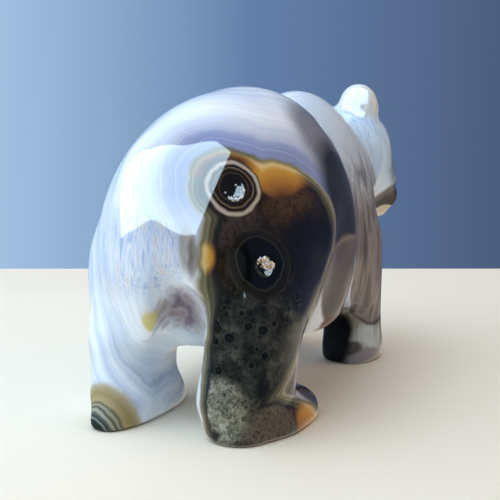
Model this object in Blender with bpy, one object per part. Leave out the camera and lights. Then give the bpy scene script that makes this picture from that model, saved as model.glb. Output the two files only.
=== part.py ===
"""A small bear carved from one piece of banded agate, standing on its four feet and looking a little to its right.

The carving is one solid. Rounded forms, each with its place and its half sizes, are joined with soft blends as a
carver would leave them, and the hollows between them are ground away with soft edges. The forms first make a
rough block from plain primitives, and the block's surface is then drawn onto the blended form and thinned out.

The forms are laid out facing +Y, with right to the bear's right side, ahead towards its head and up from the
floor, from a point on the floor below the heel of its right hind foot. The finished carving faces -Y and has its
origin below the middle of its box.
"""

import math
from dataclasses import dataclass

import bmesh
import bpy
import numpy as np
from mathutils import Matrix, Vector

MM = 0.001

# Driving dimensions, in millimetres: the finished carving is set to them, whatever the sizes of its forms
LENGTH = 115.47
WIDTH = 51.48
HEIGHT = 70.43

# Sizes of the forms, in millimetres before the whole is set to its driving dimensions
RUMP_HALF_WIDTH = 25.3
RUMP_HALF_HEIGHT = 34.0
RUMP_TOP = 69.0
BARREL_HALF_WIDTH = 24.4
BELLY_UP = 15.0
LOBE_UP = 15.2
SHOULDER_HALF_WIDTH = 21.6
SHOULDER_HALF_HEIGHT = 37.8
SHOULDER_AHEAD = 67.5
SHOULDER_TOP = 68.8
RIGHT_FOOT_UP = 6.5
RIGHT_TOES_UP = 6.2
LEFT_FOOT_UP = 6.9
FORE_STANCE = 13.7
FORE_FOOT_UP = 6.3
FORE_LEFT_STEP = 4.0
SOLE_ROUND = 1.5
BELOW_ALL = -30.0

# Fineness of the rough block and of the finished surface
BLOCK_CELL = 1.25
FINISHED_TRIANGLES = 8600
DRAWING_ROUNDS = 14
SETTLING_ROUNDS = 3
GRADIENT_STEP = 0.05
LONGEST_STEP = 1.2
RELAXING = 0.35
FLAT_SOLE = 0.06
SHARP_EDGE = math.radians(50)

AGATE_GREY_LILAC = (0.42, 0.43, 0.50, 1.0)
AGATE_ROUGHNESS = 0.08


def turned_to_layout(points: np.ndarray) -> np.ndarray:
    """Half a turn about +Z, from facing +Y to facing -Y."""
    return points * np.array([-1.0, -1.0, 1.0])


@dataclass(frozen=True)
class Egg:
    """A rounded form about its centre. A power of 2 is an ellipsoid, and a higher one is boxier."""

    right: float
    ahead: float
    up: float
    half_width: float
    half_length: float
    half_height: float
    power: float = 2.0

    @property
    def centre(self) -> np.ndarray:
        return np.array([self.right, self.ahead, self.up])

    @property
    def radii(self) -> np.ndarray:
        return np.array([self.half_width, self.half_length, self.half_height])

    def distance(self, points: np.ndarray) -> np.ndarray:
        """How far points lie outside the form, negative inside it."""
        share = np.abs((points - self.centre) / self.radii) + 1e-9
        reach = (share ** self.power).sum(axis=-1) ** (1 / self.power)
        slope = share ** (self.power - 1) * (reach ** (1 - self.power))[..., None] / self.radii
        return (reach - 1) / np.linalg.norm(slope, axis=-1)

    def add_block(self, shell: bmesh.types.BMesh) -> None:
        """Fills an empty mesh with the form, as a sphere drawn out to its half sizes."""
        bmesh.ops.create_uvsphere(shell, u_segments=28, v_segments=18, radius=1.0)
        for vert in shell.verts:
            reach = sum(abs(c) ** self.power for c in vert.co) ** (1 / self.power)
            vert.co = Vector(self.centre + np.array(vert.co) / reach * self.radii)


@dataclass(frozen=True)
class Ball:
    """One end of a limb."""

    right: float
    ahead: float
    up: float
    radius: float

    @property
    def centre(self) -> np.ndarray:
        return np.array([self.right, self.ahead, self.up])


@dataclass(frozen=True)
class Limb:
    """A tapered rod with round ends, from one ball to another, drawn out lengthwise by its stretch."""

    start: Ball
    end: Ball
    stretch: float = 1.0

    @property
    def squeeze(self) -> np.ndarray:
        return np.array([1.0, 1.0 / self.stretch, 1.0])

    def distance(self, points: np.ndarray) -> np.ndarray:
        """How far points lie outside the rod, negative inside it."""
        along = (self.end.centre - self.start.centre) * self.squeeze
        away = points * self.squeeze - self.start.centre * self.squeeze
        taper = self.start.radius - self.end.radius
        length_2 = along @ along
        cone_2 = length_2 - taper * taper
        run = away @ along
        past = run - length_2
        side_2 = ((away * length_2 - run[..., None] * along) ** 2).sum(axis=-1)
        run_2 = run * run * length_2
        past_2 = past * past * length_2
        edge = math.copysign(taper * taper, taper) * side_2
        at_end = np.sqrt(side_2 + past_2) / length_2 - self.end.radius
        at_start = np.sqrt(side_2 + run_2) / length_2 - self.start.radius
        between = (np.sqrt(side_2 * cone_2 / length_2) + run * taper) / length_2 - self.start.radius
        nearer_start = np.where(np.sign(run) * cone_2 * run_2 < edge, at_start, between)
        return np.where(np.sign(past) * cone_2 * past_2 > edge, at_end, nearer_start)

    def add_block(self, shell: bmesh.types.BMesh) -> None:
        """Fills an empty mesh with the rod, as the hull of its two balls."""
        for ball in (self.start, self.end):
            place = Matrix.Translation(Vector(ball.centre)) @ Matrix.Diagonal((1.0, self.stretch, 1.0, 1.0))
            bmesh.ops.create_icosphere(shell, subdivisions=3, radius=ball.radius, matrix=place)
        hull = bmesh.ops.convex_hull(shell, input=shell.verts[:])
        inner = [item for item in hull["geom_interior"] if isinstance(item, bmesh.types.BMVert)]
        bmesh.ops.delete(shell, geom=inner, context="VERTS")


def joined(first: np.ndarray, second: np.ndarray, soft: float) -> np.ndarray:
    """Two forms as one, with the crease between them filled over the soft distance."""
    overlap = np.maximum(soft - np.abs(first - second), 0.0) / soft
    return np.minimum(first, second) - overlap * overlap * soft / 4


def ground_away(form: np.ndarray, hollow: np.ndarray, soft: float) -> np.ndarray:
    """A form with a hollow ground out of it, its rim rounded over the soft distance."""
    overlap = np.maximum(soft - np.abs(form + hollow), 0.0) / soft
    return np.maximum(form, -hollow) + overlap * overlap * soft / 4


# The body: rump, barrel and shoulders in a row, cut level below
RUMP = Egg(0, 32, RUMP_TOP - RUMP_HALF_HEIGHT, RUMP_HALF_WIDTH, 38, RUMP_HALF_HEIGHT, power=1.95)
BARREL = Egg(0, 41, 36, BARREL_HALF_WIDTH, 17.5, 32.6, power=2.1)
SHOULDERS_UP = SHOULDER_TOP - SHOULDER_HALF_HEIGHT
SHOULDERS = Egg(0, SHOULDER_AHEAD, SHOULDERS_UP, SHOULDER_HALF_WIDTH, 16, SHOULDER_HALF_HEIGHT)

# The hollow ground between the hind legs, and the lobe of the belly left standing in it
CROTCH = Egg(-1, -7, 8, 13, 17, 24)
LOBE = Egg(-1.6, 19.6, 38, 9.9, 24.8, 24.5, power=2.9)

# The right hind leg, on which the stone rests further back than on its left
RIGHT_THIGH = Egg(13.6, 17.8, 30, 11.5, 17, 14.5, power=2.1)
RIGHT_SHANK = Limb(Ball(15.2, 11.5, 22, 9.6), Ball(14.7, 9.6, 7.5, 9.1), stretch=1.2)
RIGHT_SHIN = Limb(Ball(14.9, 15, 20, 8.2), Ball(15.2, 13, 7, 8.5))
RIGHT_FOOT = Egg(16.2, 16.1, 0.4, 8.3, 17.1, RIGHT_FOOT_UP, power=2.4)
RIGHT_TOES = Egg(17.4, 17.4, 0.4, 8.5, 11.6, RIGHT_TOES_UP, power=3.0)

# The left hind leg, with its heel drawn in
LEFT_THIGH = Egg(-13.6, 19.5, 30, 10.4, 14.5, 14, power=2.1)
LEFT_HOCK = Ball(-12.6, 8.5, 17, 7.5)
LEFT_BACK = Limb(Ball(-14.0, 14.0, 33, 8.4), LEFT_HOCK)
LEFT_HEEL = Limb(LEFT_HOCK, Ball(-12.2, 5.7, 6, 6.8))
LEFT_SHIN = Limb(Ball(-15.2, 17, 28, 8.8), Ball(-14.9, 15.5, 5, 8.6))
LEFT_FOOT = Egg(-10.9, 10.2, 0.5, 6.2, 15.2, 8.0, power=2.3)
LEFT_TOES = Egg(-14.1, 15, 0.4, 7.3, 10.5, LEFT_FOOT_UP, power=2.4)

# The scoop between the lobe and the right leg, and the finer groove on its left
SCOOP_MIDDLE = Ball(6.3, -1.0, 26, 4.2)
SCOOP_TOP = Limb(Ball(7.0, -8.5, 36.5, 0.8), SCOOP_MIDDLE)
SCOOP_FOOT = Limb(SCOOP_MIDDLE, Ball(1.6, 7.0, 14, 6.4))
LEFT_GROOVE = Limb(Ball(-12.8, -4.4, 40, 0.5), Ball(-12.2, -2.2, 28, 0.9))

# The neck, and the head sloping down to its right
NECK = Limb(Ball(1, 76, 47, 15), Ball(4.5, 86, 50, 12))
SKULL = Limb(Ball(5.9, 87.5, 53.2, 11.8), Ball(8.3, 96.5, 45, 7.9))
MUZZLE = Limb(Ball(7.9, 95, 46.2, 7.3), Ball(10.2, 104.4, 39.4, 4.2))
JAW = Limb(Ball(7.7, 94, 40.8, 5.2), Ball(9.7, 102.4, 36.4, 2.9))
NOSE = Egg(10.5, 106.4, 40.4, 3.2, 2.6, 2.6)
EARS = (Egg(9.7, 85.9, 63.6, 5.5, 3.6, 6.9, power=2.1), Egg(-5.2, 91.0, 58.2, 5.5, 3.5, 6.3, power=2.1))
EAR_HOLLOWS = (Egg(10.3, 90.6, 65.2, 3.2, 3.2, 4.2), Egg(-4.2, 95.4, 60.0, 3.2, 3.2, 4.0))
EYE_HOLLOWS = (Egg(14.9, 98.0, 50.6, 1.7, 1.7, 1.7), Egg(2.4, 101.2, 49.6, 1.7, 1.7, 1.7))


def flank_crease(side: int) -> Limb:
    """The crease between a thigh and the flank ahead of it, as a rod that grazes the side."""
    return Limb(Ball(side * 31.3, 38.5, 42, 5.2), Ball(side * 29.3, 29.5, 15, 7.8))


def fore_leg(side: int, step: float) -> Limb:
    """A fore leg from the shoulder to the ankle, set ahead by its step."""
    return Limb(Ball(side * 13.2, 70.6 + step, 30, 7.8), Ball(side * 13.8, 73.7 + step, 6, 7.5))


def fore_foot(side: int, step: float) -> Egg:
    """A fore foot, reaching ahead of its leg."""
    return Egg(side * FORE_STANCE, 74.3 + step, 0.6, 6.9, 9.3, FORE_FOOT_UP, power=2.6)


FORE_STEPS = ((1, 0.0), (-1, FORE_LEFT_STEP))


def body_distance(points: np.ndarray) -> np.ndarray:
    """The body without its legs, cut level below and hollowed between the hind legs."""
    up = points[..., 2]
    body = joined(RUMP.distance(points), BARREL.distance(points), soft=6)
    body = joined(body, SHOULDERS.distance(points), soft=9)
    body = ground_away(body, CROTCH.distance(points), soft=5)
    body = ground_away(body, up - BELLY_UP, soft=4)
    lobe = ground_away(LOBE.distance(points), up - LOBE_UP, soft=5)
    return joined(body, lobe, soft=3)


def right_hind_distance(points: np.ndarray) -> np.ndarray:
    """The right hind leg and its foot."""
    leg = joined(RIGHT_THIGH.distance(points), RIGHT_SHANK.distance(points), soft=6)
    leg = joined(leg, RIGHT_SHIN.distance(points), soft=3)
    leg = joined(leg, RIGHT_FOOT.distance(points), soft=3)
    return joined(leg, RIGHT_TOES.distance(points), soft=2)


def left_hind_distance(points: np.ndarray) -> np.ndarray:
    """The left hind leg and its foot."""
    leg = joined(LEFT_THIGH.distance(points), LEFT_BACK.distance(points), soft=5)
    leg = joined(leg, LEFT_HEEL.distance(points), soft=3)
    leg = joined(leg, LEFT_SHIN.distance(points), soft=4)
    foot = joined(LEFT_FOOT.distance(points), LEFT_TOES.distance(points), soft=3)
    return joined(leg, foot, soft=3)


def fore_distance(points: np.ndarray, side: int, step: float) -> np.ndarray:
    """A fore leg and its foot."""
    return joined(fore_leg(side, step).distance(points), fore_foot(side, step).distance(points), soft=3)


def head_distance(points: np.ndarray) -> np.ndarray:
    """The skull, muzzle, jaw and nose."""
    head = joined(SKULL.distance(points), MUZZLE.distance(points), soft=3)
    head = joined(head, JAW.distance(points), soft=1)
    return joined(head, NOSE.distance(points), soft=1.2)


def bear_distance(points: np.ndarray) -> np.ndarray:
    """How far points lie outside the finished carving, negative inside it."""
    bear = joined(body_distance(points), right_hind_distance(points), soft=3.5)
    bear = joined(bear, left_hind_distance(points), soft=3.5)
    scoop = joined(SCOOP_TOP.distance(points), SCOOP_FOOT.distance(points), soft=3)
    bear = ground_away(bear, scoop, soft=3.5)
    bear = ground_away(bear, LEFT_GROOVE.distance(points), soft=3)
    for side in (1, -1):
        bear = ground_away(bear, flank_crease(side).distance(points), soft=4)
    for side, step in FORE_STEPS:
        bear = joined(bear, fore_distance(points, side, step), soft=5)
    bear = joined(bear, NECK.distance(points), soft=6)
    bear = joined(bear, head_distance(points), soft=4)
    for ear in EARS:
        bear = joined(bear, ear.distance(points), soft=1.8)
    for hollow in EAR_HOLLOWS:
        bear = ground_away(bear, hollow.distance(points), soft=1.2)
    for hollow in EYE_HOLLOWS:
        bear = ground_away(bear, hollow.distance(points), soft=0.8)
    return ground_away(bear, points[..., 2], soft=SOLE_ROUND)


def outward(points: np.ndarray) -> np.ndarray:
    """The slope of the carving's distance at points, which points straight out of its surface."""
    slope = np.empty_like(points)
    for axis, step in enumerate(np.eye(3) * GRADIENT_STEP):
        slope[:, axis] = bear_distance(points + step) - bear_distance(points - step)
    return slope / (2 * GRADIENT_STEP)


def forms_as_mesh(name: str, forms: list, floor: float) -> bpy.types.Object:
    """Primitives of some forms in one mesh, each closed and cut level at a floor."""
    shells = bmesh.new()
    for form in forms:
        shell = bmesh.new()
        form.add_block(shell)
        everything = shell.verts[:] + shell.edges[:] + shell.faces[:]
        cut = bmesh.ops.bisect_plane(
            shell, geom=everything, plane_co=(0, 0, floor), plane_no=(0, 0, 1), clear_inner=True
        )
        rim = [item for item in cut["geom_cut"] if isinstance(item, bmesh.types.BMEdge)]
        if rim:
            bmesh.ops.holes_fill(shell, edges=rim)
        bmesh.ops.recalc_face_normals(shell, faces=shell.faces)
        spare = bpy.data.meshes.new("shell")
        shell.to_mesh(spare)
        shell.free()
        shells.from_mesh(spare)
        bpy.data.meshes.remove(spare)
    mesh = bpy.data.meshes.new(name)
    shells.to_mesh(mesh)
    shells.free()
    block = bpy.data.objects.new(name, mesh)
    bpy.context.scene.collection.objects.link(block)
    return block


def add_skin(block: bpy.types.Object) -> None:
    """Fuses a block's shells into one skin of even cells."""
    skin = block.modifiers.new("skin", "REMESH")
    skin.mode = "VOXEL"
    skin.voxel_size = BLOCK_CELL


def fuse_and_cut(block: bpy.types.Object, cutter: bpy.types.Object) -> None:
    """Fuses a block's shells, cuts a cutter out of them and evens out the skin again."""
    cutter.hide_render = True
    cutter.display_type = "WIRE"
    add_skin(cutter)
    add_skin(block)
    cut = block.modifiers.new("cut", "BOOLEAN")
    cut.operation = "DIFFERENCE"
    cut.solver = "EXACT"
    cut.object = cutter
    add_skin(block)
    evaluated = block.evaluated_get(bpy.context.evaluated_depsgraph_get())
    fused = bpy.data.meshes.new_from_object(evaluated)
    block.modifiers.clear()
    block.data = fused


def rough_block() -> bpy.types.Object:
    """The whole bear as plain primitives, fused into one closed skin."""
    body = forms_as_mesh("body_block", [RUMP, BARREL, SHOULDERS], BELLY_UP)
    crotch = forms_as_mesh("crotch_cutter", [CROTCH], BELOW_ALL)
    fuse_and_cut(body, crotch)
    lobe = forms_as_mesh("lobe_block", [LOBE], BELLY_UP)
    limbs = [RIGHT_THIGH, RIGHT_SHANK, RIGHT_SHIN, RIGHT_FOOT, RIGHT_TOES]
    limbs += [LEFT_THIGH, LEFT_BACK, LEFT_HEEL, LEFT_SHIN, LEFT_FOOT, LEFT_TOES]
    for side, step in FORE_STEPS:
        limbs += [fore_leg(side, step), fore_foot(side, step)]
    limbs += [NECK, SKULL, MUZZLE, JAW, NOSE, *EARS]
    limb_block = forms_as_mesh("limb_block", limbs, 0.0)
    whole = bmesh.new()
    for block in (body, lobe, limb_block):
        whole.from_mesh(block.data)
    whole.to_mesh(body.data)
    whole.free()
    scoop = forms_as_mesh("scoop_cutter", [SCOOP_TOP, SCOOP_FOOT], 0.0)
    fuse_and_cut(body, scoop)
    for spare in (crotch, lobe, limb_block, scoop):
        bpy.data.objects.remove(spare)
    return body


def neighbour_means(points: np.ndarray, edges: np.ndarray) -> np.ndarray:
    """The mean place of each point's neighbours along the edges."""
    total = np.zeros_like(points)
    count = np.zeros(len(points))
    for here, there in ((0, 1), (1, 0)):
        np.add.at(total, edges[:, here], points[edges[:, there]])
        np.add.at(count, edges[:, here], 1)
    return total / count[:, None]


def draw_onto_bear(mesh: bpy.types.Mesh) -> None:
    """Moves a mesh's points onto the carving's surface, spreading them evenly along it."""
    points = np.empty(len(mesh.vertices) * 3)
    mesh.vertices.foreach_get("co", points)
    points = points.reshape(-1, 3)
    edges = np.empty(len(mesh.edges) * 2, dtype=np.int64)
    mesh.edges.foreach_get("vertices", edges)
    edges = edges.reshape(-1, 2)
    for turn in range(DRAWING_ROUNDS):
        slope = outward(points)
        steep = np.maximum((slope * slope).sum(axis=1), 0.05)
        step = -slope * (bear_distance(points) / steep)[:, None]
        size = np.linalg.norm(step, axis=1, keepdims=True)
        step *= np.minimum(1.0, LONGEST_STEP / np.maximum(size, 1e-9))
        if turn < DRAWING_ROUNDS - SETTLING_ROUNDS:
            pull = neighbour_means(points, edges) - points
            out = slope / np.sqrt(steep)[:, None]
            step += (pull - out * (pull * out).sum(axis=1, keepdims=True)) * RELAXING
        points = points + step
    mesh.vertices.foreach_set("co", points.ravel())
    mesh.update()


def thin_out(block: bpy.types.Object) -> None:
    """Merges triangles where the surface is flattest, down to the finished count."""
    triangles = sum(len(face.vertices) - 2 for face in block.data.polygons)
    thinning = block.modifiers.new("thinning", "DECIMATE")
    thinning.decimate_type = "COLLAPSE"
    thinning.ratio = FINISHED_TRIANGLES / triangles
    thinning.use_collapse_triangulate = True
    evaluated = block.evaluated_get(bpy.context.evaluated_depsgraph_get())
    thinned = bpy.data.meshes.new_from_object(evaluated)
    block.modifiers.clear()
    block.data = thinned


def set_in_frame(mesh: bpy.types.Mesh) -> None:
    """Turns the bear to face -Y at its real size, its soles flat and its origin below its box's middle."""
    points = np.empty(len(mesh.vertices) * 3)
    mesh.vertices.foreach_get("co", points)
    points = turned_to_layout(points.reshape(-1, 3))
    points[np.abs(points[:, 2]) < FLAT_SOLE, 2] = 0.0
    low, high = points.min(axis=0), points.max(axis=0)
    points[:, :2] -= (low[:2] + high[:2]) / 2
    points *= np.array([WIDTH, LENGTH, HEIGHT]) * MM / (high - low)
    mesh.vertices.foreach_set("co", points.ravel())
    mesh.update()


def agate() -> bpy.types.Material:
    """Polished grey-lilac agate."""
    material = bpy.data.materials.new("banded_agate")
    material.use_nodes = True
    shader = material.node_tree.nodes["Principled BSDF"]
    shader.inputs["Base Color"].default_value = AGATE_GREY_LILAC
    shader.inputs["Roughness"].default_value = AGATE_ROUGHNESS
    shader.inputs["Metallic"].default_value = 0.0
    return material


def build_bear() -> bpy.types.Object:
    """The carving as one closed solid."""
    bear = rough_block()
    draw_onto_bear(bear.data)
    thin_out(bear)
    set_in_frame(bear.data)
    bear.name = "agate_bear"
    bear.data.name = "agate_bear"
    bear.data.materials.clear()
    bear.data.materials.append(agate())
    bear.data.shade_smooth()
    bear.data.set_sharp_from_angle(angle=SHARP_EDGE)
    return bear


for existing in list(bpy.data.objects):
    bpy.data.objects.remove(existing)
build_bear()
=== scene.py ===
"""Looks of a small bear carved from banded agate, and the plain studio that it stands in.

The bear is one piece of polished stone. Its surface is drawn fine onto the same blended forms as the CAD
solid, with two small crystal-lined hollows opened in the right haunch, and its bands, rings and spots are
worked out in the stone from real sizes in millimetres.
"""

import logging
import math
from dataclasses import dataclass, field
from enum import Enum
from functools import partial
from typing import Protocol

import bmesh
import bpy
import numpy as np
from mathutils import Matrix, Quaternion, Vector

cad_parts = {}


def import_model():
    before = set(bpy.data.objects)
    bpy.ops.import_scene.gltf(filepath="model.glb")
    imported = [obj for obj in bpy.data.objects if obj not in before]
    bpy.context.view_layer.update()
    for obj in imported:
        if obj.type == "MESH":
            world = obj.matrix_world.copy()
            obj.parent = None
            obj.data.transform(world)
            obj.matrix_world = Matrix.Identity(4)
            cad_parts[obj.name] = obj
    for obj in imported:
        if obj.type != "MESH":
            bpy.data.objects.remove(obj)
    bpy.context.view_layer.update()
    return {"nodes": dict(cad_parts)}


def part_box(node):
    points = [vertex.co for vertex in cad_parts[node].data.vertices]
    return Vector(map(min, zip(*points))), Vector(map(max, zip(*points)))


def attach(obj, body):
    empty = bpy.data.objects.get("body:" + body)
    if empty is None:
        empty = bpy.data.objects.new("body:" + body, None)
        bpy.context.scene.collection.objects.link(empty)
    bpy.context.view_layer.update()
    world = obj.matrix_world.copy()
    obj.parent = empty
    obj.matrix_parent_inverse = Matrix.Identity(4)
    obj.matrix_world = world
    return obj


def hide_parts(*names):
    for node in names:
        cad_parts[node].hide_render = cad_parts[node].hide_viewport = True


log = logging.getLogger("agate_bear_scene")

Tree = bpy.types.NodeTree
Socket = bpy.types.NodeSocket
Triple = tuple[float, float, float]
Span = tuple[float, float]
Stops = tuple[tuple[float, str], ...]

MM = 0.001
PHOTO_PIXELS = 500
FOCAL_PIXELS = 1000
HORIZON_ROW = 86
TINY = 1e-9


def linear(srgb_hex: str) -> tuple[float, float, float, float]:
    """Turns six sRGB hex digits after a hash into linear red, green and blue, with a full alpha."""
    channels = [int(srgb_hex[place : place + 2], 16) / 255 for place in (1, 3, 5)]
    return (*[c / 12.92 if c <= 0.04045 else ((c + 0.055) / 1.055) ** 2.4 for c in channels], 1.0)


def add_node(
    tree: Tree,
    kind: str,
    inputs: dict | None = None,
    output: int | str = 0,
    stops: Stops | None = None,
    **settings: object,
) -> Socket | None:
    """Adds a node with its settings and links.

    Args:
        tree: The node tree that gets the node.
        kind: The node's type name, less the ShaderNode that it starts with.
        inputs: Input name or number to a value, or to a socket that is linked to it.
        output: The output that is wanted.
        stops: Place and sRGB hex colour of each stop, for a node with a colour ramp.
        settings: The node's own properties.

    Returns:
        The wanted output socket, or None from a node that has none.
    """
    node = tree.nodes.new(f"ShaderNode{kind}")
    for name, value in settings.items():
        setattr(node, name, value)
    if stops:
        elements = node.color_ramp.elements
        while len(elements) < len(stops):
            elements.new(0.5)
        for element, (place, colour) in zip(elements, stops):
            element.position = place
            element.color = linear(colour)
    for name, value in (inputs or {}).items():
        if isinstance(value, Socket):
            tree.links.new(value, node.inputs[name])
        else:
            node.inputs[name].default_value = value
    return node.outputs[output] if node.outputs else None


def added(name: str, data: bpy.types.ID) -> bpy.types.Object:
    """Adds an object to the scene.

    Args:
        name: Its name.
        data: Its mesh, light or camera.

    Returns:
        The object.
    """
    thing = bpy.data.objects.new(name, data)
    bpy.context.scene.collection.objects.link(thing)
    return thing


# The forms of the carving, in millimetres to the bear's right, ahead and up


class Form(Protocol):
    """Anything whose distance from points can be measured."""

    def distance(self, points: np.ndarray) -> np.ndarray:
        """Measures how far points lie outside the form, negative inside it."""


@dataclass(frozen=True)
class Egg:
    """A rounded form about its centre. A power of 2 is an ellipsoid, and a higher one is boxier."""

    right: float
    ahead: float
    up: float
    half_width: float
    half_length: float
    half_height: float
    power: float = 2.0

    def distance(self, points: np.ndarray) -> np.ndarray:
        """Measures how far points lie outside the form.

        Args:
            points: Places as rows of right, ahead and up.

        Returns:
            A distance for each point, negative inside the form.
        """
        radii = np.array([self.half_width, self.half_length, self.half_height])
        share = np.abs((points - np.array([self.right, self.ahead, self.up])) / radii) + TINY
        reach = (share**self.power).sum(axis=-1) ** (1 / self.power)
        slope = share ** (self.power - 1) * (reach ** (1 - self.power))[..., None] / radii
        return (reach - 1) / np.linalg.norm(slope, axis=-1)


@dataclass(frozen=True)
class Ball:
    """One end of a limb."""

    right: float
    ahead: float
    up: float
    radius: float

    @property
    def centre(self) -> np.ndarray:
        """The ball's centre as right, ahead and up."""
        return np.array([self.right, self.ahead, self.up])


@dataclass(frozen=True)
class Limb:
    """A tapered rod with round ends, from one ball to another, drawn out lengthwise by its stretch."""

    start: Ball
    end: Ball
    stretch: float = 1.0

    def distance(self, points: np.ndarray) -> np.ndarray:
        """Measures how far points lie outside the rod.

        Args:
            points: Places as rows of right, ahead and up.

        Returns:
            A distance for each point, negative inside the rod.
        """
        squeeze = np.array([1.0, 1.0 / self.stretch, 1.0])
        along = (self.end.centre - self.start.centre) * squeeze
        away = (points - self.start.centre) * squeeze
        taper = self.start.radius - self.end.radius
        length_2 = along @ along
        cone_2 = length_2 - taper * taper
        run = away @ along
        past = run - length_2
        side_2 = ((away * length_2 - run[..., None] * along) ** 2).sum(axis=-1)
        run_2 = run * run * length_2
        past_2 = past * past * length_2
        edge = math.copysign(taper * taper, taper) * side_2
        at_end = np.sqrt(side_2 + past_2) / length_2 - self.end.radius
        at_start = np.sqrt(side_2 + run_2) / length_2 - self.start.radius
        between = (np.sqrt(side_2 * cone_2 / length_2) + run * taper) / length_2 - self.start.radius
        nearer_start = np.where(np.sign(run) * cone_2 * run_2 < edge, at_start, between)
        return np.where(np.sign(past) * cone_2 * past_2 > edge, at_end, nearer_start)


@dataclass(frozen=True)
class Below:
    """Everything below a level."""

    up: float

    def distance(self, points: np.ndarray) -> np.ndarray:
        """Measures how far points lie above the level."""
        return points[..., 2] - self.up


def joined(first: np.ndarray, second: np.ndarray, soft: float) -> np.ndarray:
    """Joins two forms by their distances, the crease between them filled over the soft distance."""
    overlap = np.maximum(soft - np.abs(first - second), 0.0) / soft
    return np.minimum(first, second) - overlap * overlap * soft / 4


def ground_away(form: np.ndarray, hollow: np.ndarray, soft: float) -> np.ndarray:
    """Grinds a hollow out of a form by their distances, its rim rounded over the soft distance."""
    overlap = np.maximum(soft - np.abs(form + hollow), 0.0) / soft
    return np.maximum(form, -hollow) + overlap * overlap * soft / 4


class Work(Enum):
    """What is done with a form, to the stone that is there."""

    JOIN = "join"
    GRIND = "grind"


@dataclass(frozen=True)
class Step:
    """One step of the carving: a form, how wide its crease or rim is rounded, and what is done with it."""

    form: Form
    soft: float = 0.0
    work: Work = Work.JOIN


@dataclass(frozen=True)
class Carved:
    """A form made by steps, each of which works on what the ones before it left."""

    steps: tuple[Step, ...]

    def distance(self, points: np.ndarray) -> np.ndarray:
        """Measures how far points lie outside the carved form.

        Args:
            points: Places as rows of right, ahead and up.

        Returns:
            A distance for each point, negative inside the form.
        """
        stone = self.steps[0].form.distance(points)
        for step in self.steps[1:]:
            work = joined if step.work is Work.JOIN else ground_away
            stone = work(stone, step.form.distance(points), step.soft)
        return stone


LOBE = Carved((
    Step(Egg(-1.6, 19.6, 38, 9.9, 24.8, 24.5, power=2.9)),  # lobe
    Step(Below(15.2), 5, Work.GRIND),  # flat below it
))

RIGHT_HIND = (
    Step(Egg(13.6, 17.8, 30, 11.5, 17, 14.5, power=2.1)),  # thigh
    Step(Limb(Ball(15.2, 11.5, 22, 9.6), Ball(14.7, 9.6, 7.5, 9.1), stretch=1.2), 6),  # shank
    Step(Limb(Ball(14.9, 15, 20, 8.2), Ball(15.2, 13, 7, 8.5)), 3),  # shin
    Step(Egg(16.2, 16.1, 0.4, 8.3, 17.1, 6.5, power=2.4), 3),  # foot
    Step(Egg(17.4, 17.4, 0.4, 8.5, 11.6, 6.2, power=3), 2),  # toes
)

LEFT_FOOT = (
    Step(Egg(-10.9, 10.2, 0.5, 6.2, 15.2, 8, power=2.3)),  # foot
    Step(Egg(-14.1, 15, 0.4, 7.3, 10.5, 6.9, power=2.4), 3),  # toes
)

LEFT_HIND = (
    Step(Egg(-13.6, 19.5, 30, 10.4, 14.5, 14, power=2.1)),  # thigh
    Step(Limb(Ball(-14, 14, 33, 8.4), Ball(-12.6, 8.5, 17, 7.5)), 5),  # back
    Step(Limb(Ball(-12.6, 8.5, 17, 7.5), Ball(-12.2, 5.7, 6, 6.8)), 3),  # heel, drawn in
    Step(Limb(Ball(-15.2, 17, 28, 8.8), Ball(-14.9, 15.5, 5, 8.6)), 4),  # shin
    Step(Carved(LEFT_FOOT), 3),  # foot
)

SCOOP = (
    Step(Limb(Ball(7, -8.5, 36.5, 0.8), Ball(6.3, -1, 26, 4.2))),  # top
    Step(Limb(Ball(6.3, -1, 26, 4.2), Ball(1.6, 7, 14, 6.4)), 3),  # foot
)

RIGHT_FORE, LEFT_FORE = (
    (
        Step(Limb(Ball(side * 13.2, 70.6 + ahead, 30, 7.8), Ball(side * 13.8, 73.7 + ahead, 6, 7.5))),  # leg
        Step(Egg(side * 13.7, 74.3 + ahead, 0.6, 6.9, 9.3, 6.3, power=2.6), 3),  # foot
    )
    for side, ahead in ((1, 0), (-1, 4))
)

HEAD = (
    Step(Limb(Ball(5.9, 87.5, 53.2, 11.8), Ball(8.3, 96.5, 45, 7.9))),  # skull
    Step(Limb(Ball(7.9, 95, 46.2, 7.3), Ball(10.2, 104.4, 39.4, 4.2)), 3),  # muzzle
    Step(Limb(Ball(7.7, 94, 40.8, 5.2), Ball(9.7, 102.4, 36.4, 2.9)), 1),  # jaw
    Step(Egg(10.5, 106.4, 40.4, 3.2, 2.6, 2.6), 1.2),  # nose
)

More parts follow.
